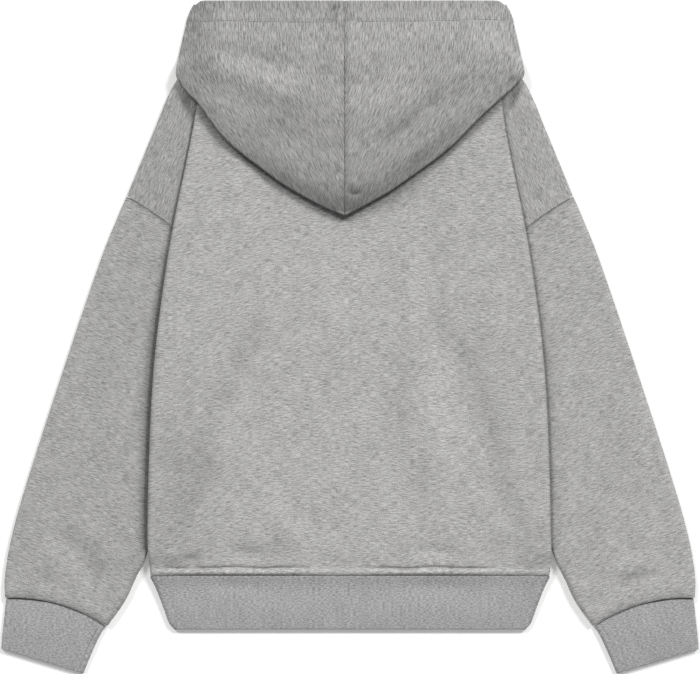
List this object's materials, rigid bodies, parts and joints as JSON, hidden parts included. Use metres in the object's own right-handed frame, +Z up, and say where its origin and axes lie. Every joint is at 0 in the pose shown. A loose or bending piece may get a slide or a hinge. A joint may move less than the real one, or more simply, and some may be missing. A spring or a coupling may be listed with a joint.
{
  "type": "toddler hoodie",
  "caption": "Toddler's pullover hoodie in marled fleece, laid flat face down with its hood folded over the back, dropped shoulders, rib cuffs and hem band.",
  "frame": {"origin": "middle of the garment's outline, on the surface that it lies on", "axes": "+X across the garment to the right as seen from above, +Y from the hem to the hood, +Z up out of the surface, from the front of the garment to its back"},
  "size_m": [0.5732, 0.5528, 0.0195],
  "materials": {
    "fleece": "heather grey marled fleece, smooth knit face",
    "rib": "heather grey fine rib knit",
    "thread": "grey sewing thread, overlock and twin needle"
  },
  "bodies": {
    "root": {"back_panel": "fleece", "front_panel": "fleece", "sleeve_left": "fleece", "sleeve_right": "fleece", "hood_left": "fleece", "hood_right": "fleece", "cuff_left": "rib", "cuff_right": "rib", "hem_band": "rib"}
  },
  "joints": []
}
